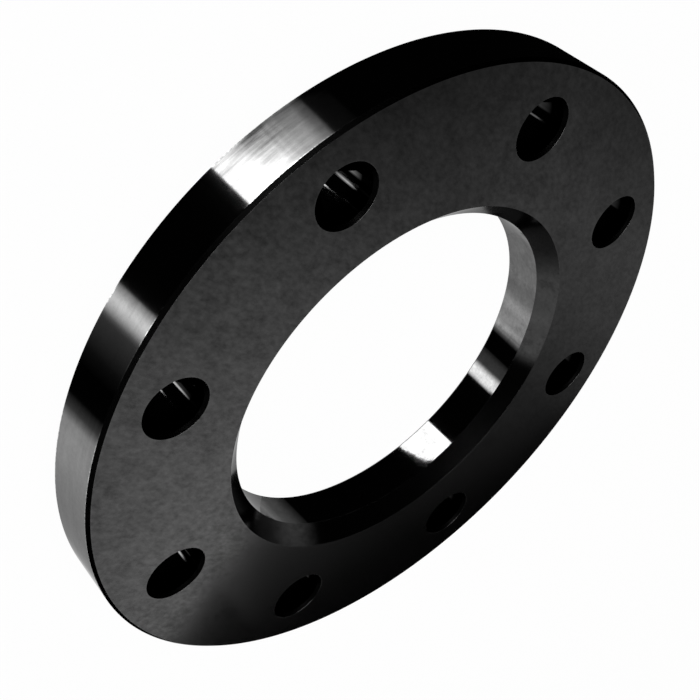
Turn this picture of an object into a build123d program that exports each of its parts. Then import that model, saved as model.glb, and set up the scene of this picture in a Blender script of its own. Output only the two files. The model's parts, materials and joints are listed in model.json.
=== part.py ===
from build123d import *
import os

# Loose lap joint flange: one flat forged ring that slips over a stub end.
# The collar of the stub end seats on the lap face, whose bore edge has a wide
# chamfer that clears the collar's root radius. Bolts pass through the ring.
# Millimetres. The ring lies on its back face in the plane Z = 0, with its
# axis on +Z and the lap face up. The origin is the centre of the back face.

# Ring
outer_diameter = 220.0
bore_diameter = 120.0
thickness = 19.0

# Bolt holes, equally spaced and straddling the X and Y axes. The edge distance
# runs from the bolt circle out to the rim and leaves room for nuts and washers.
bolt_edge_distance = 20.0
bolt_hole_diameter = 18.0
bolt_hole_count = 8

# Chamfers, all at 45 degrees, each given as its leg
lap_chamfer = 5.3
bore_back_chamfer = 0.5
rim_chamfer = 1.0
bolt_hole_chamfer = 1.0

# Radii and angles that follow from the sizes above
outer_radius = outer_diameter / 2
bore_radius = bore_diameter / 2
bolt_circle_radius = outer_radius - bolt_edge_distance
bolt_hole_radius = bolt_hole_diameter / 2
hole_pitch_angle = 360.0 / bolt_hole_count
first_hole_angle = hole_pitch_angle / 2

# How far the tool that cuts a bolt hole runs past each face
tool_overrun = 2.0


def turned_ring():
    """Turn the ring's cross-section, with its chamfered edges, about the axis."""
    section = [
        (bore_radius + bore_back_chamfer, 0),
        (outer_radius - rim_chamfer, 0),
        (outer_radius, rim_chamfer),
        (outer_radius, thickness - rim_chamfer),
        (outer_radius - rim_chamfer, thickness),
        (bore_radius + lap_chamfer, thickness),
        (bore_radius, thickness - lap_chamfer),
        (bore_radius, bore_back_chamfer),
    ]
    with BuildPart() as ring:
        with BuildSketch(Plane.XZ):
            with BuildLine():
                Polyline(*section, close=True)
            make_face()
        revolve(axis=Axis.Z)
    return ring.part


def bolt_hole_tool():
    """Make the shape that drills one bolt hole and chamfers both of its mouths."""
    mouth_radius = bolt_hole_radius + bolt_hole_chamfer
    overrun_radius = mouth_radius + tool_overrun
    section = [
        (0, -tool_overrun),
        (overrun_radius, -tool_overrun),
        (bolt_hole_radius, bolt_hole_chamfer),
        (bolt_hole_radius, thickness - bolt_hole_chamfer),
        (overrun_radius, thickness + tool_overrun),
        (0, thickness + tool_overrun),
    ]
    with BuildPart() as tool:
        with BuildSketch(Plane.XZ):
            with BuildLine():
                Polyline(*section, close=True)
            make_face()
        revolve(axis=Axis.Z)
    return tool.part


def drilled_ring():
    """Drill the turned ring on its bolt circle."""
    tool = bolt_hole_tool()
    with BuildPart() as flange:
        add(turned_ring())
        with PolarLocations(bolt_circle_radius, bolt_hole_count, start_angle=first_hole_angle):
            add(tool, mode=Mode.SUBTRACT)
    return flange.part


os.makedirs("parts", exist_ok=True)
flange_ring = drilled_ring()
export_step(flange_ring, "parts/flange_ring.step")
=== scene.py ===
"""Dresses the loose lap joint flange in its steel finishes and sets it on a pale studio floor."""

import json
import logging
import math
from collections.abc import Sequence
from dataclasses import dataclass
from enum import Enum
from typing import ClassVar, NamedTuple

import bmesh
import bpy
from mathutils import Matrix, Vector


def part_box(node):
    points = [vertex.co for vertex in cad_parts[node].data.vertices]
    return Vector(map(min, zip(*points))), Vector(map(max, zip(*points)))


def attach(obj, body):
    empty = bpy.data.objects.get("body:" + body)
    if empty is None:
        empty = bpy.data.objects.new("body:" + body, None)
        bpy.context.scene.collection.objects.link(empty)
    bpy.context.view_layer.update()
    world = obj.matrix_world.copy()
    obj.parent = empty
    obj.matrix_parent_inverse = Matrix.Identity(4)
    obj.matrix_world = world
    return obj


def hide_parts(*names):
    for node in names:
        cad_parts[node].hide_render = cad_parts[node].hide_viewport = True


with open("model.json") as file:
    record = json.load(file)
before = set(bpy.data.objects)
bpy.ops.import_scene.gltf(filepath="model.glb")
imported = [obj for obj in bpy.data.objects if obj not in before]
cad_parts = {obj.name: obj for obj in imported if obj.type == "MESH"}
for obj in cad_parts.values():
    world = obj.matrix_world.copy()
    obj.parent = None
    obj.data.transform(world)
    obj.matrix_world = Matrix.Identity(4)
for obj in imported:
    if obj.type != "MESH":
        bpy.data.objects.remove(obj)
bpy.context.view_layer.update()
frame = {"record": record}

log = logging.getLogger("flange")

MM = 0.001
NODE_NAME = "flange_ring"
BODY_NAME = "root"
EDGE_ATTRIBUTE = "edge"
LAY_ATTRIBUTE = "lay"
LEVEL_ATTRIBUTE = "level"

# Nearly all the values of a noise lie between these two.
NOISE_LOW = 0.3
NOISE_HIGH = 0.7


class Surface(Enum):
    """The kinds of machined surface on the ring, each with the slot that its finish takes on the mesh."""

    FACED = 0
    TURNED_RIM = 1
    BORED = 2
    CHAMFERED = 3
    # Painted shade: chamfers that only ever show dark get a near-black base colour.
    BLACK_CHAMFER = 4
    DRILLED = 5


class Side(Enum):
    """Which side of a wall the steel is on."""

    STEEL_INSIDE = 1
    STEEL_OUTSIDE = -1


class Mixed(Enum):
    """What a mix node mixes, with the numbers of its two inputs and of its output."""

    NUMBERS = ("FLOAT", 2, 3, 0)
    COLOURS = ("RGBA", 6, 7, 2)


# Short names for the types that come up often.
Tree = bpy.types.NodeTree
Socket = bpy.types.NodeSocket
Sockets = bpy.types.bpy_prop_collection
Value = float | tuple[float, ...] | Vector | Socket
Range = tuple[Value, Value]
Ring = list[bmesh.types.BMVert]


def add_node(
    tree: Tree,
    kind: str,
    inputs: dict[str | int, Value] | None = None,
    **properties: object,
) -> bpy.types.Node:
    """Add a node to a tree, set its properties, and set or link its inputs.

    Args:
        tree: The node tree that takes the node.
        kind: The type name of the node.
        inputs: Input name or number to a value, or to the socket that feeds it.
        properties: Properties of the node itself.

    Returns:
        The new node.
    """
    node = tree.nodes.new(kind)
    for name, value in properties.items():
        setattr(node, name, value)
    for key, value in (inputs or {}).items():
        if isinstance(value, Socket):
            tree.links.new(value, node.inputs[key])
        else:
            node.inputs[key].default_value = value
    return node


def calculate(tree: Tree, operation: str, *terms: Value) -> Socket:
    """Add a node that calculates with numbers, and return its result."""
    return add_node(tree, "ShaderNodeMath", dict(enumerate(terms)), operation=operation).outputs[0]


def calculate_vector(tree: Tree, operation: str, *terms: Value) -> Socket:
    """Add a node that calculates with vectors, and return its result."""
    node = add_node(tree, "ShaderNodeVectorMath", dict(enumerate(terms)), operation=operation)
    return node.outputs["Value" if operation == "DOT_PRODUCT" else "Vector"]


def noise(tree: Tree, place: Value, scale: Value, detail: Value, roughness: float = 0.6) -> Socket:
    """Add a noise over a place, and return its value."""
    inputs = {"Vector": place, "Scale": scale, "Detail": detail, "Roughness": roughness}
    return add_node(tree, "ShaderNodeTexNoise", inputs).outputs["Fac"]


def remap(tree: Tree, value: Value, before: Range, after: Range = (0.0, 1.0)) -> Socket:
    """Add a node that stretches one range of values over another, and holds them at its ends.

    Args:
        tree: The node tree that takes the node.
        value: The value to stretch.
        before: The two ends of its range.
        after: What the two ends become.

    Returns:
        The socket with the result.
    """
    return add_node(tree, "ShaderNodeMapRange", {
        "Value": value,
        "From Min": before[0],
        "From Max": before[1],
        "To Min": after[0],
        "To Max": after[1],
    }).outputs["Result"]


def mix(tree: Tree, kind: Mixed, share: Value, first: Value, second: Value) -> Socket:
    """Add a node that mixes two numbers or two colours.

    Args:
        tree: The node tree that takes the node.
        kind: What is mixed.
        share: The share that the second one takes.
        first: What is there at a share of 0.
        second: What is there at a share of 1.

    Returns:
        The socket with the result.
    """
    data_type, first_input, second_input, output = kind.value
    inputs = {0: share, first_input: first, second_input: second}
    return add_node(tree, "ShaderNodeMix", inputs, data_type=data_type).outputs[output]


def grey(level: float) -> tuple[float, float, float, float]:
    """Return an opaque neutral colour of that linear level."""
    return (level, level, level, 1.0)


def blank_material(name: str) -> bpy.types.Material:
    """Make a material with an empty node tree.

    Args:
        name: The name of the new material.

    Returns:
        The material.
    """
    made = bpy.data.materials.new(name)
    made.use_nodes = True
    made.node_tree.nodes.clear()
    return made


def add_object(name: str, data: bpy.types.ID) -> bpy.types.Object:
    """Make an object and link it to the scene.

    Args:
        name: The name of the new object.
        data: The mesh, lamp or camera that it shows.

    Returns:
        The object.
    """
    made = bpy.data.objects.new(name, data)
    bpy.context.scene.collection.objects.link(made)
    return made


def direction(azimuth: float, elevation: float) -> Vector:
    """Return the unit vector that points to an azimuth from +X and an elevation, both in degrees."""
    turn, rise = math.radians(azimuth), math.radians(elevation)
    return Vector((math.cos(rise) * math.cos(turn), math.cos(rise) * math.sin(turn), math.sin(rise)))


@dataclass(frozen=True)
class ProfilePoint:
    """One point of a wall's cross-section, with its outward normal and how near an edge it is."""

    radius: float
    height: float
    normal_radial: float
    normal_up: float
    edge: float
    surface: Surface


@dataclass(frozen=True)
class Wall:
    """A turned wall: a cross-section with rounded corners, swept round an axis parallel to Z.

    Attributes:
        centre: Where the axis crosses the back face.
        corners: The cross-section's radii and heights, from the lap face to the back face.
        surfaces: The kind of surface between each corner and the next.
        side: The side that the steel is on.
        segments: How many steps the sweep takes.
        edge_radius: The small radius that rounds each corner.
        wear_and_highlight_width: How far from a corner its worn line, with its painted highlight, fades out.
        arc_steps: How many steps each rounded corner takes.
        seed: How far the wall's tool lines are shifted, so that walls differ.
    """

    centre: tuple[float, float]
    corners: tuple[tuple[float, float], ...]
    surfaces: tuple[Surface, ...]
    side: Side
    segments: int
    edge_radius: float
    wear_and_highlight_width: float
    arc_steps: int
    seed: float

    def points(self) -> list[ProfilePoint]:
        """Round each corner with a small arc and add a shoulder each side of it.

        Returns:
            The cross-section from the lap face, over the wall, to the back face.
        """
        path = [Vector(corner) for corner in self.corners]
        found: list[ProfilePoint] = []
        for index in range(1, len(path) - 1):
            corner = path[index]
            leg_in = corner - path[index - 1]
            leg_out = path[index + 1] - corner
            way_in = leg_in.normalized()
            way_out = leg_out.normalized()
            turn = way_in.angle_signed(way_out)
            cut = self.edge_radius * math.tan(abs(turn) / 2)
            before, after = self.surfaces[index - 1], self.surfaces[index]
            if index == 1 or leg_in.length > 2 * self.wear_and_highlight_width:
                found.append(self._point(corner - way_in * self.wear_and_highlight_width, way_in, 0.0, before))
            start = corner - way_in * cut
            pivot = start + self._normal(way_in) * -self.edge_radius * self._bulge(turn)
            for step in range(self.arc_steps + 1):
                share = step / self.arc_steps
                way = Matrix.Rotation(-turn * share, 2) @ way_in
                place = pivot + self._normal(way) * self.edge_radius * self._bulge(turn)
                surface = before if step < self.arc_steps else after
                found.append(self._point(place, way, 1.0, surface))
            if index == len(path) - 2 or leg_out.length > 2 * self.wear_and_highlight_width:
                found.append(self._point(corner + way_out * self.wear_and_highlight_width, way_out, 0.0, after))
        return found

    def _bulge(self, turn: float) -> float:
        """Return 1 for a corner that stands out of the steel and -1 for a hollow one."""
        return math.copysign(1.0, turn) * self.side.value

    def _normal(self, way: Vector) -> Vector:
        """Return the outward normal beside a direction along the cross-section."""
        return Vector((-way.y, way.x)) * self.side.value

    def _point(self, place: Vector, way: Vector, edge: float, surface: Surface) -> ProfilePoint:
        """Make the point of the cross-section at a place, for a direction along it."""
        normal = self._normal(way)
        return ProfilePoint(place.x, place.y, normal.x, normal.y, edge, surface)


@dataclass(frozen=True)
class SkinMesh:
    """Collects the ring's vertices and its faces with their finishes.

    Attributes:
        mesh: The vertices and faces so far.
        normals: The normal of each vertex.
        edges: How near an edge each vertex is, from 0 to 1.
        lays: Each vertex's way out from its wall's axis, with its height and its wall's shift as Z.
    """

    mesh: bmesh.types.BMesh
    normals: list[Vector]
    edges: list[float]
    lays: list[Vector]

    @classmethod
    def empty(cls) -> "SkinMesh":
        """Return a mesh with nothing in it yet."""
        return cls(bmesh.new(), [], [], [])

    def sweep(self, wall: Wall) -> tuple[Ring, Ring]:
        """Sweep a wall's cross-section round its axis.

        Args:
            wall: The wall to add.

        Returns:
            The ring of vertices in the lap face and the one in the back face.
        """
        rows: list[Ring] = []
        points = wall.points()
        for point in points:
            row = []
            for index in range(wall.segments):
                angle = 2 * math.pi * index / wall.segments
                ray = Vector((math.cos(angle), math.sin(angle), 0.0))
                place = ray * point.radius + Vector((*wall.centre, point.height))
                row.append(self.mesh.verts.new(place))
                self.normals.append(ray * point.normal_radial + Vector((0, 0, point.normal_up)))
                self.edges.append(point.edge)
                self.lays.append(ray + Vector((0, 0, point.height + wall.seed)))
            rows.append(row)
        for above, below, point in zip(rows, rows[1:], points):
            for index in range(wall.segments):
                after = (index + 1) % wall.segments
                corners = [above[index], below[index], below[after], above[after]]
                if wall.side is Side.STEEL_OUTSIDE:
                    corners.reverse()
                face = self.mesh.faces.new(corners)
                face.material_index = point.surface.value
                face.smooth = True
        return rows[0], rows[-1]

    def fill(self, loops: Sequence[Ring], up: float) -> None:
        """Fill the flat face between closed loops of vertices.

        Args:
            loops: The face's outline and the outlines of its openings.
            up: 1 for a face that looks up, or -1 for one that looks down.
        """
        edges = []
        for loop in loops:
            for start, end in zip(loop, [*loop[1:], loop[0]]):
                edges.append(self.mesh.edges.get((start, end)))
        normal = Vector((0, 0, up))
        made = bmesh.ops.triangle_fill(self.mesh, use_beauty=True, edges=edges, normal=normal)
        for face in made["geom"]:
            if isinstance(face, bmesh.types.BMFace):
                face.normal_update()
                if face.normal.z * up < 0:
                    face.normal_flip()
                face.material_index = Surface.FACED.value
                face.smooth = True

    def to_object(self, name: str) -> bpy.types.Object:
        """Write the mesh out as an object with its own normals, its edge mask and its lay.

        Args:
            name: The name of the new object.

        Returns:
            The object, linked to the scene.
        """
        data = bpy.data.meshes.new(name)
        self.mesh.to_mesh(data)
        self.mesh.free()
        mask = data.attributes.new(EDGE_ATTRIBUTE, "FLOAT", "POINT")
        mask.data.foreach_set("value", self.edges)
        lay = data.attributes.new(LAY_ATTRIBUTE, "FLOAT_VECTOR", "POINT")
        lay.data.foreach_set("vector", [number for place in self.lays for number in place])
        data.normals_split_custom_set_from_vertices([tuple(n.normalized()) for n in self.normals])
        return add_object(name, data)


class Effect:
    """A shader node group that several finishes share."""

    name = "effect"
    numbers: tuple[tuple[str, float], ...] = ()
    results: tuple[tuple[str, str], ...] = ()

    def tree(self) -> Tree:
        """Build the group the first time that it is asked for.

        Returns:
            The group's node tree.
        """
        found = bpy.data.node_groups.get(self.name)
        if found is not None:
            return found
        tree = bpy.data.node_groups.new(self.name, "ShaderNodeTree")
        for name, value in self.numbers:
            socket = tree.interface.new_socket(name, in_out="INPUT", socket_type="NodeSocketFloat")
            socket.default_value = value
        for name, kind in self.results:
            tree.interface.new_socket(name, in_out="OUTPUT", socket_type=kind)
        self.fill(tree, add_node(tree, "NodeGroupInput").outputs, add_node(tree, "NodeGroupOutput").inputs)
        return tree

    def fill(self, tree: Tree, given: Sockets, result: Sockets) -> None:
        """Add the group's nodes between its inputs and its outputs.

        Args:
            tree: The group's node tree.
            given: The sockets that the group's numbers come from.
            result: The sockets that its results go to.
        """
        raise NotImplementedError

    def place(self, tree: Tree, **inputs: Value) -> bpy.types.NodeOutputs:
        """Place the group in a material.

        Args:
            tree: The material's node tree.
            inputs: The group's inputs, with _ for each space in their names.

        Returns:
            The outputs of the group's node.
        """
        values = {name.replace("_", " "): value for name, value in inputs.items()}
        return add_node(tree, "ShaderNodeGroup", values, node_tree=self.tree()).outputs


class SteelMottle(Effect):
    """The cloudy grain of oiled steel: grit and blotches, with darker stains gathered in places."""

    name = "steel mottle"
    drawn_out = (1.0, 0.55, 1.0)
    blotch_detail = 4.0
    grit_detail = 2.0
    stain_spread = 0.6
    stain_detail = 6.0
    stain_roughness = 0.75
    stain_range = (0.53, 0.68)
    numbers = (("Blotch Scale", 120.0), ("Grit Scale", 900.0), ("Grit Share", 0.6), ("Stain", 0.5))
    results = (("Value", "NodeSocketFloat"),)

    def fill(self, tree: Tree, given: Sockets, result: Sockets) -> None:
        """Mix a coarse noise and a fine one, and darken them where stains gather.

        Args:
            tree: The group's node tree.
            given: The sockets that the scales and shares come from.
            result: The socket that the pattern goes to.
        """
        own = add_node(tree, "ShaderNodeTexCoord").outputs["Object"]
        place = calculate_vector(tree, "MULTIPLY", own, self.drawn_out)
        blotch = noise(tree, place, given["Blotch Scale"], self.blotch_detail)
        grit = noise(tree, place, given["Grit Scale"], self.grit_detail)
        mixed = mix(tree, Mixed.NUMBERS, given["Grit Share"], blotch, grit)
        wide = calculate(tree, "MULTIPLY", given["Blotch Scale"], self.stain_spread)
        patch = noise(tree, place, wide, self.stain_detail, self.stain_roughness)
        gathered = remap(tree, patch, self.stain_range)
        stain = calculate(tree, "MULTIPLY", gathered, given["Stain"])
        tree.links.new(calculate(tree, "SUBTRACT", mixed, stain), result["Value"])


class ToolLay(Effect):
    """The lines that a cutting tool leaves on a round wall, fine across the cut and drawn out along it."""

    name = "tool lay"
    numbers = (("Around Scale", 14.0), ("Axis Scale", 900.0), ("Detail", 4.0))
    results = (("Value", "NodeSocketFloat"),)

    def fill(self, tree: Tree, given: Sockets, result: Sockets) -> None:
        """Stretch noise over the wall's own angle and height.

        Args:
            tree: The group's node tree.
            given: The sockets that the two scales and the detail come from.
            result: The socket that the pattern of lines goes to.
        """
        side = add_node(tree, "ShaderNodeAttribute", attribute_name=LAY_ATTRIBUTE).outputs["Vector"]
        scale = add_node(tree, "ShaderNodeCombineXYZ", {
            "X": given["Around Scale"], "Y": given["Around Scale"], "Z": given["Axis Scale"]}).outputs[0]
        place = calculate_vector(tree, "MULTIPLY", side, scale)
        tree.links.new(noise(tree, place, 1.0, given["Detail"]), result["Value"])


class FlankLean(Effect):
    """The slope of the tool lines' flanks, which turns what the wall mirrors up to the lap side."""

    name = "flank lean"
    numbers = (
        ("Lean", 0.5), ("Swell", 0.0), ("Least X", 1.0), ("Least Y", 0.0), ("Waver", 0.01), ("Lay", 0.5),
        ("Low Lean", 0.0), ("Low Past", -2.0), ("Low Rise", 0.0), ("Low Soft", 0.0001),
    )
    results = (("Normal", "NodeSocketVector"),)

    def fill(self, tree: Tree, given: Sockets, result: Sockets) -> None:
        """Lean the surface's normal along the axis, more away from the least steep side.

        The lay makes the lean waver. Past a line that climbs the wall, given by its cosine, its rise and its
        softness, the lean is the low one.

        Args:
            tree: The group's node tree.
            given: The sockets that the lean's numbers and the lay come from.
            result: The socket that the normal goes to.
        """
        side = add_node(tree, "ShaderNodeAttribute", attribute_name=LAY_ATTRIBUTE).outputs["Vector"]
        least = add_node(tree, "ShaderNodeCombineXYZ", {
            "X": given["Least X"], "Y": given["Least Y"]}).outputs[0]
        climb = add_node(tree, "ShaderNodeCombineXYZ", {
            "X": given["Least X"], "Y": given["Least Y"], "Z": given["Low Rise"]}).outputs[0]
        line_start = calculate(tree, "SUBTRACT", given["Low Past"], given["Low Soft"])
        line_end = calculate(tree, "ADD", given["Low Past"], given["Low Soft"])
        steep = remap(tree, calculate_vector(tree, "DOT_PRODUCT", side, climb), (line_start, line_end))
        away = calculate(tree, "SUBTRACT", 1.0, calculate_vector(tree, "DOT_PRODUCT", side, least))
        grown = calculate(tree, "MULTIPLY_ADD", away, given["Swell"], given["Lean"])
        kept = mix(tree, Mixed.NUMBERS, steep, given["Low Lean"], grown)
        swing = remap(tree, given["Lay"], (NOISE_LOW, NOISE_HIGH), (-1.0, 1.0))
        lean = calculate(tree, "MULTIPLY_ADD", swing, given["Waver"], kept)
        tilt = add_node(tree, "ShaderNodeCombineXYZ", {"Z": lean}).outputs[0]
        own = add_node(tree, "ShaderNodeNewGeometry").outputs["Normal"]
        leaned = calculate_vector(tree, "ADD", own, tilt)
        tree.links.new(calculate_vector(tree, "NORMALIZE", leaned), result["Normal"])


class EdgeWearAndHighlight(Effect):
    """The thin rubbed line along an edge, broken up where handling has missed it, and lightened as a painted
    highlight along the edge.
    """

    name = "edge wear and highlight"
    narrowing = 1.5
    gap_detail = 2.0
    gap_roughness = 0.5
    gap_range = (0.4, 0.6)
    numbers = (("Amount", 0.5), ("Breakup Scale", 900.0))
    results = (("Mask", "NodeSocketFloat"),)

    def fill(self, tree: Tree, given: Sockets, result: Sockets) -> None:
        """Break the mesh's own edge mask up with noise.

        Args:
            tree: The group's node tree.
            given: The sockets that the amount and the scale of the gaps come from.
            result: The socket that the mask goes to.
        """
        edge = add_node(tree, "ShaderNodeAttribute", attribute_name=EDGE_ATTRIBUTE).outputs["Fac"]
        narrow = calculate(tree, "POWER", edge, self.narrowing)
        place = add_node(tree, "ShaderNodeTexCoord").outputs["Object"]
        gaps = noise(tree, place, given["Breakup Scale"], self.gap_detail, self.gap_roughness)
        worn_and_highlight = calculate(tree, "MULTIPLY", narrow, remap(tree, gaps, self.gap_range))
        tree.links.new(calculate(tree, "MULTIPLY", worn_and_highlight, given["Amount"]), result["Mask"])


MOTTLE = SteelMottle()
LAY = ToolLay()
LEAN = FlankLean()
WEAR_AND_HIGHLIGHT = EdgeWearAndHighlight()


@dataclass(frozen=True, kw_only=True)
class Finish:
    """What every steel finish has: a dark and a light tone, a roughness range and worn edges, whose lighter
    tone is partly a painted highlight.

    Attributes:
        name: The name of the material.
        dark: The tone of the darkest grain.
        light: The tone of the lightest grain.
        worn_and_highlight: The tone of the rubbed lines along the edges, partly a painted highlight.
        smooth: The roughness of the lightest grain.
        rough: The roughness of the darkest grain.
        wear_and_highlight: How much of the rubbed lines, with their painted highlight, shows.
        blotch_scale: How fine the blotches are.
        grit_scale: How fine the grit is.
        grit_share: The share of grit in the grain.
        stain: How far the stains darken it.
        grazing: How bright the steel mirrors at a grazing angle.
    """

    name: str
    dark: float
    light: float
    worn_and_highlight: float
    smooth: float
    rough: float
    wear_and_highlight: float = 0.0
    blotch_scale: float = 150.0
    grit_scale: float = 900.0
    grit_share: float = 0.5
    stain: float = 0.1
    grazing: float = 1.0

    shader_name: ClassVar[str] = "steel"

    def shader(self, tree: Tree, pattern: Socket, normal: Socket) -> bpy.types.Node:
        """Make the steel's shader from a pattern and a normal.

        Args:
            tree: The material's node tree.
            pattern: A noise that says where the steel is light and smooth.
            normal: The normal that the shader takes.

        Returns:
            The Principled BSDF node.
        """
        spread = remap(tree, pattern, (NOISE_LOW, NOISE_HIGH))
        tone = mix(tree, Mixed.COLOURS, spread, grey(self.dark), grey(self.light))
        # The worn edge lines are partly real wear and partly a painted highlight.
        wear_and_highlight = WEAR_AND_HIGHLIGHT.place(tree, Amount=self.wear_and_highlight)["Mask"]
        shader = add_node(tree, "ShaderNodeBsdfPrincipled", {
            "Base Color": mix(tree, Mixed.COLOURS, wear_and_highlight, tone, grey(self.worn_and_highlight)),
            "Metallic": 1.0,
            "Roughness": remap(tree, spread, (0.0, 1.0), (self.rough, self.smooth)),
            "Specular Tint": grey(self.grazing),
            "Normal": normal,
        }, name=self.shader_name)
        add_node(tree, "ShaderNodeOutputMaterial", {"Surface": shader.outputs[0]})
        return shader

    def mottle(self, tree: Tree) -> Socket:
        """Place the steel's cloudy grain."""
        return MOTTLE.place(tree, Blotch_Scale=self.blotch_scale, Grit_Scale=self.grit_scale,
                            Grit_Share=self.grit_share, Stain=self.stain)["Value"]


@dataclass(frozen=True, kw_only=True)
class GroundFinish(Finish):
    """A flat face with a satin, mottled grain and no lay.

    Attributes:
        grain_height: How far the grain stands up.
    """

    grain_height: float

    def material(self) -> bpy.types.Material:
        """Build the finish.

        Returns:
            Its material.
        """
        made = blank_material(self.name)
        tree = made.node_tree
        mottle = self.mottle(tree)
        bump = add_node(tree, "ShaderNodeBump", {
            "Height": mottle, "Strength": 1.0, "Distance": self.grain_height})
        self.shader(tree, mottle, bump.outputs["Normal"])
        return made


@dataclass(frozen=True, kw_only=True)
class TurnedFinish(Finish):
    """A turned wall with lines round the axis, which spread reflections along it.

    Attributes:
        lean: How far the tool lines' flanks lean up where they are least steep, as a slope.
        swell: How much that slope grows a quarter turn from there.
        least_at: Where the flanks are least steep, in degrees from +X.
        waver: How much the slope wavers from line to line.
        around_scale: How fine the lines are round the axis.
        axis_scale: How fine they are along it.
        lay_share: The share of the lines in the pattern. The rest is grain.
        low_lean: The slope past a line on the wall, away from the least steep side.
        low_past: Where that line is, as a cosine of the angle from the least steep side.
        low_rise: How much the cosine there drops for each metre of height.
        low_soft: How softly the slope changes over the line, as a cosine.
    """

    lean: float = 0.0
    swell: float = 0.0
    least_at: float = 0.0
    waver: float = 0.006
    around_scale: float = 6.0
    axis_scale: float = 1400.0
    lay_share: float = 0.2
    low_lean: float = 0.0
    low_past: float = -2.0
    low_rise: float = 0.0
    low_soft: float = 0.0001

    def material(self) -> bpy.types.Material:
        """Build the finish.

        Returns:
            Its material.
        """
        made = blank_material(self.name)
        tree = made.node_tree
        lay = LAY.place(tree, Around_Scale=self.around_scale, Axis_Scale=self.axis_scale)["Value"]
        least = math.radians(self.least_at)
        normal = LEAN.place(tree, Lean=self.lean, Swell=self.swell, Least_X=math.cos(least),
                            Least_Y=math.sin(least), Waver=self.waver, Lay=lay, Low_Lean=self.low_lean,
                            Low_Past=self.low_past, Low_Rise=self.low_rise, Low_Soft=self.low_soft)["Normal"]
        pattern = mix(tree, Mixed.NUMBERS, self.lay_share, self.mottle(tree), lay)
        self.shader(tree, pattern, normal)
        return made


@dataclass(frozen=True, kw_only=True)
class DrilledFinish(TurnedFinish):
    """A drilled wall that keeps its own tone low down and has painted shade, near black, towards the mouth.

    Attributes:
        mouth_painted_shade: The tone of the painted shade near the mouth.
        bright_below: The height up to which the wall keeps its own tone.
        dark_above: The height from which it has the mouth's painted shade.
    """

    mouth_painted_shade: float
    bright_below: float
    dark_above: float

    def material(self) -> bpy.types.Material:
        """Build the finish of a turned wall, and paint shade on it towards the mouth.

        Returns:
            Its material.
        """
        made = super().material()
        tree = made.node_tree
        colour = tree.nodes[self.shader_name].inputs["Base Color"]
        place = add_node(tree, "ShaderNodeTexCoord").outputs["Object"]
        height = add_node(tree, "ShaderNodeSeparateXYZ", {0: place}).outputs["Z"]
        # Painted shade: the base colour darkens with height to near black at the mouth.
        near = remap(tree, height, (self.bright_below, self.dark_above))
        bright = colour.links[0].from_socket
        tree.links.new(mix(tree, Mixed.COLOURS, near, bright, grey(self.mouth_painted_shade)), colour)
        return made


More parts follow.
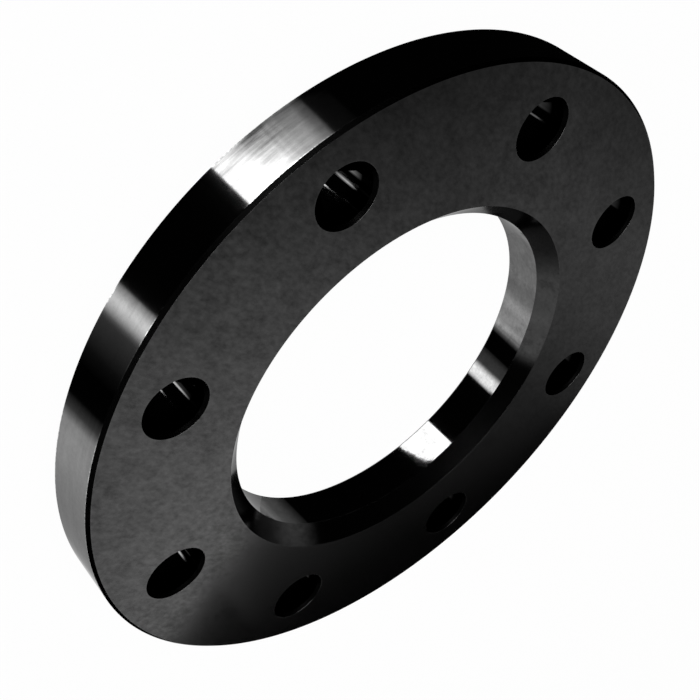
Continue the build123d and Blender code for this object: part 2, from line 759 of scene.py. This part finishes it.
@dataclass
class FlangeRing:
    """The flange: one flat ring with a chamfered bore, a circle of bolt holes and broken edges.

    The sizes are in metres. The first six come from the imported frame, and the chamfers are the solid's own.
    """

    outer_radius: float
    thickness: float
    bore_radius: float
    bolt_circle_radius: float
    bolt_hole_radius: float
    bolt_hole_count: int
    lap_chamfer: float = 5.3 * MM
    back_chamfer: float = 0.5 * MM
    rim_chamfer: float = 1.0 * MM
    hole_chamfer: float = 1.0 * MM
    edge_radius: float = 0.03 * MM
    mouth_radius: float = 0.1 * MM
    wear_and_highlight_width: float = 0.45 * MM
    arc_steps: int = 3
    ring_segments: int = 384
    hole_segments: int = 96

    @classmethod
    def from_frame(cls) -> "FlangeRing":
        """Take the ring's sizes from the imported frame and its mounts.

        Returns:
            A ring of those sizes.
        """
        low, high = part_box(NODE_NAME)
        mounts = {mount["name"]: mount["dims"] for mount in frame["record"]["mounts"]}
        bolts = mounts["bolt_circle"]
        return cls(
            outer_radius=frame["record"]["size"]["bbox_m"][0] / 2,
            thickness=high.z - low.z,
            bore_radius=mounts["pipe_bore"]["r_mm"] * MM,
            bolt_circle_radius=bolts["pcd_mm"] * MM / 2,
            bolt_hole_radius=bolts["hole_r_mm"] * MM,
            bolt_hole_count=bolts["count"],
        )

    def wall(
        self,
        centre: tuple[float, float],
        radius: float,
        legs: tuple[float, float],
        surfaces: tuple[Surface, Surface, Surface],
        side: Side,
        seed: float = 0.0,
    ) -> Wall:
        """Describe a cylindrical wall that is chamfered at both ends.

        Args:
            centre: Where the wall's axis crosses the back face.
            radius: The wall's own radius.
            legs: The chamfer's leg at the lap face and at the back face.
            surfaces: The kinds of surface of the lap chamfer, the wall and the back chamfer.
            side: The side that the steel is on.
            seed: How far the wall's tool lines are shifted, so that walls differ.

        Returns:
            The wall.
        """
        sign = side.value
        lap_leg, back_leg = legs
        far = 2 * (lap_leg + back_leg)
        corners = (
            (radius - sign * (lap_leg + far), self.thickness),
            (radius - sign * lap_leg, self.thickness),
            (radius, self.thickness - lap_leg),
            (radius, back_leg),
            (radius - sign * back_leg, 0.0),
            (radius - sign * (back_leg + far), 0.0),
        )
        is_hole = radius == self.bolt_hole_radius
        return Wall(
            centre=centre,
            corners=corners,
            surfaces=(Surface.FACED, *surfaces, Surface.FACED),
            side=side,
            segments=self.hole_segments if is_hole else self.ring_segments,
            edge_radius=self.mouth_radius if is_hole else self.edge_radius,
            wear_and_highlight_width=self.wear_and_highlight_width,
            arc_steps=self.arc_steps,
            seed=seed,
        )

    def walls(self) -> list[Wall]:
        """Describe the rim, the bore and the bolt holes.

        Returns:
            Their walls, in that order.
        """
        rim = self.wall((0.0, 0.0), self.outer_radius, (self.rim_chamfer, self.rim_chamfer),
                        (Surface.BLACK_CHAMFER, Surface.TURNED_RIM, Surface.CHAMFERED), Side.STEEL_INSIDE)
        bore = self.wall((0.0, 0.0), self.bore_radius, (self.lap_chamfer, self.back_chamfer),
                         (Surface.CHAMFERED, Surface.BORED, Surface.CHAMFERED), Side.STEEL_OUTSIDE)
        found = [rim, bore]
        pitch = 2 * math.pi / self.bolt_hole_count
        for index in range(self.bolt_hole_count):
            angle = (index + 0.5) * pitch
            centre = (self.bolt_circle_radius * math.cos(angle), self.bolt_circle_radius * math.sin(angle))
            found.append(self.wall(centre, self.bolt_hole_radius, (self.hole_chamfer, self.hole_chamfer),
                                   (Surface.BLACK_CHAMFER, Surface.DRILLED, Surface.BLACK_CHAMFER),
                                   Side.STEEL_OUTSIDE, seed=1.0 + index))
        return found

    def build(self) -> bpy.types.Object:
        """Build the ring's skin and put it in the place of the solid.

        Returns:
            The ring, still without its finishes.
        """
        skin = SkinMesh.empty()
        lap_loops, back_loops = [], []
        for wall in self.walls():
            lap_loop, back_loop = skin.sweep(wall)
            lap_loops.append(lap_loop)
            back_loops.append(back_loop)
        skin.fill(lap_loops, 1.0)
        skin.fill(back_loops, -1.0)
        made = skin.to_object("lap_joint_flange_ring")
        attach(made, BODY_NAME)
        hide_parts(NODE_NAME)
        return made

    def dress(self, made: bpy.types.Object) -> None:
        """Give each kind of surface its finish, in the order of the mesh's slots.

        Args:
            made: The ring's object.
        """
        finishes = {
            # The worn tones along the edges are partly real wear and partly a painted highlight, brightest on
            # the rim.
            Surface.FACED: GroundFinish(
                name="faced_steel", dark=0.0485, light=0.1125, worn_and_highlight=0.16, smooth=0.08, rough=0.13, wear_and_highlight=0.4,
                blotch_scale=190.0, grit_scale=700.0, grit_share=0.6, stain=0.11, grain_height=0.002 * MM),
            Surface.TURNED_RIM: TurnedFinish(
                name="turned_rim_steel", dark=0.072, light=0.1, worn_and_highlight=0.3, smooth=0.04, rough=0.065, wear_and_highlight=0.9,
                grit_scale=1000.0, lean=0.781, swell=0.4, least_at=-97.0, waver=0.007,
                around_scale=9.0, axis_scale=800.0, lay_share=0.4),
            Surface.BORED: TurnedFinish(
                name="bored_steel", dark=0.065, light=0.111, worn_and_highlight=0.1, smooth=0.03, rough=0.05, wear_and_highlight=0.2,
                blotch_scale=260.0, grit_scale=1000.0, stain=0.25, axis_scale=1000.0,
                lean=0.625, swell=0.316, least_at=83.5, waver=0.003,
                low_lean=0.46, low_past=0.19, low_rise=19.5),
            Surface.CHAMFERED: TurnedFinish(
                name="chamfered_steel", dark=0.068, light=0.114, worn_and_highlight=0.1, smooth=0.085, rough=0.12, wear_and_highlight=0.1,
                blotch_scale=300.0, stain=0.4, grazing=0.5, least_at=86.0,
                low_lean=0.15, low_past=-0.45, low_soft=0.1),
            # Painted shade: a near-black base colour stands in for the shade these chamfers show.
            Surface.BLACK_CHAMFER: TurnedFinish(
                name="shade_painted_chamfer_steel", dark=0.002, light=0.004, worn_and_highlight=0.01, smooth=0.3, rough=0.4,
                grazing=0.1),
            # The drilled walls fade to painted shade, near black, towards the mouth.
            Surface.DRILLED: DrilledFinish(
                name="drilled_steel", dark=0.04, light=0.06, worn_and_highlight=0.01, smooth=0.03, rough=0.045, grazing=0.3,
                lean=0.9, waver=0.001, around_scale=12.0, axis_scale=30.0, lay_share=0.6,
                mouth_painted_shade=0.0001, bright_below=9.0 * MM, dark_above=13.5 * MM),
        }
        for surface in Surface:
            made.data.materials.append(finishes[surface].material())


@dataclass(frozen=True)
class PhotoCamera:
    """The camera: where it aims on the lap face, from which side, and how it is rolled.

    Attributes:
        aim: The point on the lap face that it looks at.
        azimuth: The side that it stands on, in degrees from +X.
        elevation: How high it stands, in degrees.
        distance: How far it stands from the aim.
        roll: How far it is rolled, in degrees, since the photograph shows the ring tipped up.
        lens: Its focal length in millimetres.
        sensor: The width of its picture in millimetres, for that focal length.
        nearest: How near it sees.
        farthest: How far it sees.
    """

    aim: tuple[float, float, float] = (-1.400 * MM, -38.770 * MM, 19.0 * MM)
    azimuth: float = -97.559
    elevation: float = 33.345
    distance: float = 314.400 * MM
    roll: float = 133.661
    lens: float = 56.928
    sensor: float = 36.0
    nearest: float = 10.0 * MM
    farthest: float = 200.0

    def build(self) -> bpy.types.Object:
        """Make the camera and hand it to the scene.

        Returns:
            The camera.
        """
        data = bpy.data.cameras.new("photo_camera")
        data.lens = self.lens
        data.sensor_width = self.sensor
        data.sensor_fit = "HORIZONTAL"
        data.clip_start = self.nearest
        data.clip_end = self.farthest
        made = add_object("photo_camera", data)
        back = direction(self.azimuth, self.elevation)
        roll = Matrix.Rotation(math.radians(self.roll), 3, "Z").to_quaternion()
        made.rotation_mode = "QUATERNION"
        made.rotation_quaternion = back.to_track_quat("Z", "Y") @ roll
        made.location = Vector(self.aim) + back * self.distance
        bpy.context.scene.camera = made
        return made


class Rung(NamedTuple):
    """A rung of a panel, from its bottom end to its top end.

    Attributes:
        azimuth: Where the rung is, in degrees from +X.
        bottom: The elevation of the bottom end, in degrees.
        top: The elevation of the top end, in degrees.
        bottom_level: How bright the bottom end is.
        top_level: How bright the top end is, or None where it is as bright as the bottom end.
    """

    azimuth: float
    bottom: float
    top: float
    bottom_level: float
    top_level: float | None = None

    @property
    def levels(self) -> tuple[float, float]:
        """Return how bright the bottom end and the top end are."""
        return self.bottom_level, self.bottom_level if self.top_level is None else self.top_level


@dataclass(frozen=True)
class LightPanel:
    """A soft panel in the sky round the flange, unseen by the camera, that runs from rung to rung.

    Attributes:
        name: The name of its object.
        rungs: Its rungs, in order.
        distance: How far it is from the middle of the back face.
    """

    name: str
    rungs: tuple[Rung, ...]
    distance: float = 1.6

    def build(self) -> bpy.types.Object:
        """Make the panel.

        Returns:
            Its object.
        """
        skin = bmesh.new()
        levels: list[float] = []
        pairs = []
        for rung in self.rungs:
            rises = (rung.bottom, rung.top)
            pairs.append([skin.verts.new(direction(rung.azimuth, rise) * self.distance) for rise in rises])
            levels += rung.levels
        for (low_a, high_a), (low_b, high_b) in zip(pairs, pairs[1:]):
            skin.faces.new([low_a, high_a, high_b, low_b])
        data = bpy.data.meshes.new(self.name)
        skin.to_mesh(data)
        skin.free()
        data.attributes.new(LEVEL_ATTRIBUTE, "FLOAT", "POINT").data.foreach_set("value", levels)
        data.materials.append(self.material())
        made = add_object(self.name, data)
        made.visible_camera = False
        return made

    def material(self) -> bpy.types.Material:
        """Make the glow that the panels share, the first time that it is asked for.

        Returns:
            Its material.
        """
        found = bpy.data.materials.get("soft_panel")
        if found is not None:
            return found
        made = blank_material("soft_panel")
        tree = made.node_tree
        level = add_node(tree, "ShaderNodeAttribute", attribute_name=LEVEL_ATTRIBUTE)
        glow = add_node(tree, "ShaderNodeEmission", {"Strength": level.outputs["Fac"]})
        add_node(tree, "ShaderNodeOutputMaterial", {"Surface": glow.outputs[0]})
        return made


@dataclass(frozen=True)
class OverheadSoftbox:
    """A round soft lamp straight above the flange.

    Attributes:
        level: How bright it is.
        half_angle: How far from straight above it reaches, in degrees, as the flange sees it.
        height: How high it hangs.
    """

    level: float = 4.0
    half_angle: float = 18.0
    height: float = 1.6

    def build(self) -> bpy.types.Object:
        """Make the lamp, with the power that its level and its area need.

        Returns:
            The lamp.
        """
        radius = self.height * math.tan(math.radians(self.half_angle))
        area = math.pi * radius ** 2
        data = bpy.data.lights.new("overhead_softbox", "AREA")
        data.shape = "DISK"
        data.size = 2 * radius
        data.energy = self.level * math.pi * area
        made = add_object("overhead_softbox", data)
        made.location.z = self.height
        made.visible_camera = False
        return made


@dataclass
class Studio:
    """The plain pale floor, the soft lamps round it and the room's own glow.

    Attributes:
        floor_size: The length of the floor's sides.
        floor_gap: How far the floor is below the ring.
        floor_tone: The tone of its paint.
        glow_share: The share of its look that is plain white, without shadow.
        haze_glow: How bright the room is below the haze's bottom.
        upper_glow: How bright it is above the haze's top.
        haze_bottom: The elevation where the haze begins to fade, in degrees.
        haze_top: The elevation where it has faded out.
    """

    floor_size: float = 60.0
    floor_gap: float = 0.05 * MM
    floor_tone: float = 0.92
    glow_share: float = 0.975
    haze_glow: float = 1.0
    upper_glow: float = 0.004
    haze_bottom: float = -1.0
    haze_top: float = 2.0

    def panels(self) -> list[LightPanel]:
        """List the soft panels, from the key light on round the flange.

        Returns:
            The panels, with rungs that bring each reflection in the steel to its place.
        """
        return [
            LightPanel("key_panel", (
                Rung(-131.3, 34.5, 35.8, 13.0), Rung(-129.0, 32.8, 37.1, 13.0),
                Rung(-125.8, 31.9, 38.15, 13.0), Rung(-121.5, 31.2, 39.0, 13.0),
                Rung(-117.0, 30.7, 39.7, 13.0), Rung(-114.8, 30.5, 39.7, 13.0),
                Rung(-112.5, 29.9, 39.7, 13.0), Rung(-108.2, 29.5, 39.7, 13.0),
                Rung(-104.15, 29.4, 39.7, 13.0), Rung(-103.95, 32.8, 39.7, 13.0),
                Rung(-103.3, 33.5, 39.7, 13.0))),
            LightPanel("key_edge_panel", (
                Rung(-142.0, 26.5, 32.0, 0.02), Rung(-135.0, 26.5, 32.0, 0.03, 0.05),
                Rung(-132.3, 26.5, 32.0, 0.6, 2.4), Rung(-126.0, 26.8, 32.0, 0.5, 6.2),
                Rung(-123.6, 27.3, 32.0, 0.4, 8.0), Rung(-121.5, 28.0, 31.7, 0.2, 10.5),
                Rung(-119.2, 28.3, 31.0, 0.2, 13.0), Rung(-117.0, 28.4, 30.9, 0.2, 13.0),
                Rung(-114.8, 28.3, 30.6, 0.2, 13.0), Rung(-112.5, 28.3, 30.0, 1.0, 13.0),
                Rung(-108.2, 28.4, 29.7, 2.0, 13.0), Rung(-104.2, 28.6, 29.6, 1.5, 11.0)), distance=1.65),
            LightPanel("rim_strip_panel", (
                Rung(-63.8, 24.0, 33.0, 0.0), Rung(-63.0, 24.0, 33.0, 2.0), Rung(-61.9, 24.0, 33.0, 3.3),
                Rung(-60.0, 24.0, 33.0, 6.3), Rung(-58.7, 24.0, 33.0, 6.5), Rung(-56.6, 24.0, 33.0, 4.0),
                Rung(-54.5, 24.0, 33.0, 0.8), Rung(-53.3, 24.0, 33.0, 0.3), Rung(-47.3, 24.0, 33.0, 0.14),
                Rung(-43.3, 23.0, 32.0, 0.04), Rung(-38.0, 22.0, 31.0, 0.0))),
            LightPanel("bore_strip_panel", (
                Rung(-60.9, 33.2, 38.2, 0.0), Rung(-59.5, 33.2, 38.2, 5.0), Rung(-58.0, 33.2, 38.3, 8.6),
                Rung(-56.0, 33.2, 38.6, 9.5, 8.6), Rung(-54.0, 33.2, 39.0, 10.2, 8.6),
                Rung(-52.1, 33.2, 38.9, 6.5), Rung(-50.1, 33.2, 38.6, 1.6, 3.0),
                Rung(-48.4, 33.2, 39.0, 0.4), Rung(-42.5, 33.2, 38.5, 0.3), Rung(-38.7, 33.2, 38.0, 0.06))),
            LightPanel("first_streak_panel", (
                Rung(-61.0, 40.8, 42.1, 0.2), Rung(-57.3, 40.5, 41.9, 2.4, 5.5),
                Rung(-55.4, 40.2, 41.7, 5.0, 9.8), Rung(-53.5, 39.9, 41.3, 5.0, 8.0),
                Rung(-51.8, 39.6, 40.9, 3.5, 4.4), Rung(-50.0, 39.4, 40.6, 2.0),
                Rung(-46.4, 39.0, 40.0, 0.5, 0.4))),
            LightPanel("second_streak_panel", (
                Rung(-51.5, 42.2, 43.5, 0.3), Rung(-49.8, 41.4, 42.95, 5.0, 6.0),
                Rung(-48.0, 40.9, 42.4, 9.0, 11.0), Rung(-46.0, 40.4, 41.7, 9.0, 11.0),
                Rung(-43.5, 39.9, 40.75, 5.0), Rung(-41.0, 39.3, 39.9, 0.6))),
            LightPanel("third_streak_panel", (
                Rung(-60.0, 49.0, 50.4, 0.4), Rung(-56.0, 49.0, 50.2, 2.6), Rung(-51.0, 48.4, 49.7, 0.4))),
            LightPanel("first_glint_panel", (
                Rung(-112.0, 40.0, 41.1, 0.3), Rung(-109.8, 40.0, 41.4, 12.0),
                Rung(-108.0, 40.0, 41.6, 20.0), Rung(-106.0, 40.0, 41.7, 20.0),
                Rung(-104.6, 40.0, 41.7, 1.0))),
            LightPanel("second_glint_panel", (
                Rung(-106.5, 43.8, 44.15, 0.3), Rung(-104.6, 43.8, 44.1, 15.0),
                Rung(-102.8, 43.75, 44.05, 15.0), Rung(-101.0, 43.7, 44.0, 0.3))),
            LightPanel("side_panel", (
                Rung(-30.0, 18.5, 28.5, 0.0), Rung(-26.1, 17.7, 27.3, 0.35), Rung(-24.3, 17.0, 26.8, 1.2),
                Rung(-22.5, 16.0, 26.2, 2.4), Rung(-18.0, 14.0, 25.5, 2.7), Rung(-11.0, 12.0, 23.5, 2.5),
                Rung(-4.0, 9.5, 22.0, 2.0), Rung(2.0, 7.0, 20.0, 1.75), Rung(8.0, 4.5, 17.0, 1.7),
                Rung(14.0, 2.0, 14.0, 1.75), Rung(18.5, 0.5, 11.5, 2.3), Rung(21.0, 0.0, 9.8, 3.4, 3.3),
                Rung(24.0, 0.0, 8.5, 4.3, 4.1), Rung(38.0, 0.0, 4.0, 4.5, 4.3))),
            LightPanel("upper_side_panel", (
                Rung(-26.0, 32.5, 36.3, 0.0), Rung(-23.8, 32.2, 36.0, 0.6, 0.5),
                Rung(-22.0, 32.0, 35.7, 2.0, 1.4), Rung(-20.0, 31.6, 35.3, 4.0, 0.8),
                Rung(-15.0, 30.7, 34.4, 2.6, 2.0), Rung(-7.8, 29.3, 33.1, 2.2), Rung(-4.4, 28.6, 32.4, 2.8),
                Rung(-1.0, 27.9, 31.6, 2.8), Rung(5.5, 26.2, 30.0, 1.5), Rung(12.0, 24.5, 28.2, 1.25),
                Rung(18.0, 22.5, 26.2, 1.6), Rung(24.0, 20.5, 24.2, 1.5), Rung(30.0, 18.2, 22.0, 1.35),
                Rung(35.0, 16.2, 19.7, 1.3), Rung(40.0, 13.9, 17.3, 1.3), Rung(45.0, 11.4, 14.7, 1.2),
                Rung(50.0, 9.0, 12.0, 1.4), Rung(54.0, 6.4, 9.3, 1.6), Rung(58.0, 3.8, 6.5, 0.7),
                Rung(60.5, 2.2, 5.0, 0.0))),
            LightPanel("chamfer_panel", (
                Rung(-17.5, 43.0, 56.0, 0.0), Rung(-15.0, 42.5, 56.0, 0.15), Rung(-10.0, 41.0, 54.0, 0.62),
                Rung(2.0, 36.0, 50.0, 0.5), Rung(10.0, 33.0, 46.0, 0.6), Rung(18.0, 29.0, 42.0, 0.5),
                Rung(25.0, 26.0, 37.0, 0.5), Rung(32.0, 21.8, 33.0, 0.43), Rung(39.0, 18.3, 28.0, 0.22),
                Rung(46.0, 14.8, 22.0, 0.11), Rung(52.0, 11.0, 17.0, 0.08), Rung(62.0, 3.0, 12.0, 0.05))),
            LightPanel("end_panel", (
                Rung(104.5, 0.0, 5.0, 0.1), Rung(108.0, 0.5, 6.5, 0.8), Rung(113.0, 2.5, 9.0, 1.1, 0.9),
                Rung(118.0, 5.0, 12.0, 1.45, 1.1), Rung(125.0, 9.0, 16.5, 0.72, 0.55),
                Rung(131.0, 12.0, 19.5, 0.6, 0.4), Rung(136.5, 14.0, 21.5, 0.3, 0.2),
                Rung(141.0, 16.0, 24.0, 0.02))),
            LightPanel("chamfer_end_panel", (
                Rung(106.0, 7.0, 12.0, 0.03), Rung(113.0, 9.6, 15.0, 0.08), Rung(118.0, 12.4, 18.0, 0.16),
                Rung(125.0, 17.0, 23.0, 0.38), Rung(131.0, 20.5, 28.0, 0.35), Rung(135.5, 24.0, 31.0, 0.16),
                Rung(140.0, 26.0, 34.0, 0.02))),
            LightPanel("far_panel", (
                Rung(52.0, 28.0, 46.0, 0.7, 0.5), Rung(60.0, 28.3, 46.0, 0.9, 0.55),
                Rung(64.0, 29.7, 46.0, 0.97, 0.55), Rung(68.0, 30.6, 46.0, 0.93, 0.5),
                Rung(72.0, 30.3, 46.0, 0.88, 0.44), Rung(76.0, 30.1, 46.0, 0.79, 0.4),
                Rung(82.0, 30.0, 46.0, 0.66, 0.35), Rung(88.0, 30.0, 46.0, 0.52, 0.26),
                Rung(94.0, 30.6, 46.0, 0.38, 0.16), Rung(100.0, 31.0, 46.0, 0.31, 0.06),
                Rung(107.0, 32.0, 46.0, 0.22, 0.0), Rung(113.0, 32.6, 46.0, 0.14, 0.0))),
            LightPanel("far_low_panel", (
                Rung(64.0, 25.5, 30.5, 0.0, 0.25), Rung(70.0, 24.5, 30.5, 0.0, 0.12),
                Rung(76.0, 24.0, 30.0, 0.0, 0.1), Rung(83.5, 23.0, 30.0, 0.02, 0.16),
                Rung(88.0, 22.5, 30.5, 0.05, 0.2), Rung(92.0, 21.0, 31.0, 0.13, 0.25),
                Rung(96.0, 21.0, 31.5, 0.22, 0.32), Rung(100.0, 20.0, 32.0, 0.27, 0.32),
                Rung(106.0, 20.0, 33.0, 0.22, 0.2), Rung(112.0, 20.0, 33.0, 0.07, 0.06)), distance=1.65),
        ]

    def floor(self) -> bpy.types.Object:
        """Lay the floor just under the ring.

        Returns:
            The floor.
        """
        skin = bmesh.new()
        bmesh.ops.create_grid(skin, x_segments=1, y_segments=1, size=self.floor_size / 2)
        data = bpy.data.meshes.new("studio_floor")
        skin.to_mesh(data)
        skin.free()
        data.materials.append(self.floor_material())
        made = add_object("studio_floor", data)
        made.location.z = -self.floor_gap
        return made

    def floor_material(self) -> bpy.types.Material:
        """Make the floor's pale paint, which shows as white but keeps a share of every shadow.

        Returns:
            The paint's material.
        """
        made = blank_material("pale_floor")
        tree = made.node_tree
        path = add_node(tree, "ShaderNodeLightPath").outputs
        first = calculate(tree, "ADD", path["Is Camera Ray"], path["Is Glossy Ray"])
        seen = add_node(tree, "ShaderNodeMath", {
            0: first, 1: path["Is Transmission Ray"]}, operation="ADD", use_clamp=True).outputs[0]
        factor = calculate(tree, "MULTIPLY", seen, self.glow_share)
        paint = add_node(tree, "ShaderNodeBsdfDiffuse", {"Color": grey(self.floor_tone)})
        white = add_node(tree, "ShaderNodeEmission", {"Color": grey(1.0), "Strength": 1.0})
        mixed = add_node(tree, "ShaderNodeMixShader", {
            "Fac": factor, 1: paint.outputs[0], 2: white.outputs[0]})
        add_node(tree, "ShaderNodeOutputMaterial", {"Surface": mixed.outputs[0]})
        return made

    def room(self) -> bpy.types.World:
        """Make the room's glow: white haze low down, and dim above it.

        Returns:
            The room.
        """
        world = bpy.data.worlds.new("studio_room")
        world.use_nodes = True
        tree = world.node_tree
        tree.nodes.clear()
        way = add_node(tree, "ShaderNodeTexCoord").outputs["Generated"]
        rise = add_node(tree, "ShaderNodeSeparateXYZ", {0: way}).outputs["Z"]
        level = add_node(tree, "ShaderNodeMapRange", {
            "Value": rise,
            "From Min": math.sin(math.radians(self.haze_bottom)),
            "From Max": math.sin(math.radians(self.haze_top)),
            "To Min": self.haze_glow,
            "To Max": self.upper_glow,
        }, interpolation_type="SMOOTHSTEP")
        glow = add_node(tree, "ShaderNodeBackground", {"Color": level.outputs["Result"], "Strength": 1.0})
        add_node(tree, "ShaderNodeOutputWorld", {"Surface": glow.outputs[0]})
        bpy.context.scene.world = world
        return world

    def build(self) -> list[bpy.types.Object]:
        """Lay the floor, light the room and hang the lamps.

        Returns:
            The floor, the panels and the overhead lamp.
        """
        pieces = [self.floor()]
        self.room()
        pieces += [panel.build() for panel in self.panels()]
        pieces.append(OverheadSoftbox().build())
        return pieces


def report(piece: bpy.types.Object) -> None:
    """Log a piece and the number of its faces, which is 0 for a camera or a lamp."""
    faces = len(piece.data.polygons) if piece.type == "MESH" else 0
    log.info("%s: %s, %d faces", piece.name, piece.type.lower(), faces)


def main() -> None:
    """Build the flange, its finishes, the camera and the studio, and report each piece."""
    bpy.context.scene.view_settings.view_transform = "Standard"
    ring = FlangeRing.from_frame()
    flange = ring.build()
    ring.dress(flange)
    report(flange)
    report(PhotoCamera().build())
    for piece in Studio().build():
        report(piece)


if __name__ == "__main__":
    logging.basicConfig(level=logging.INFO)
    main()
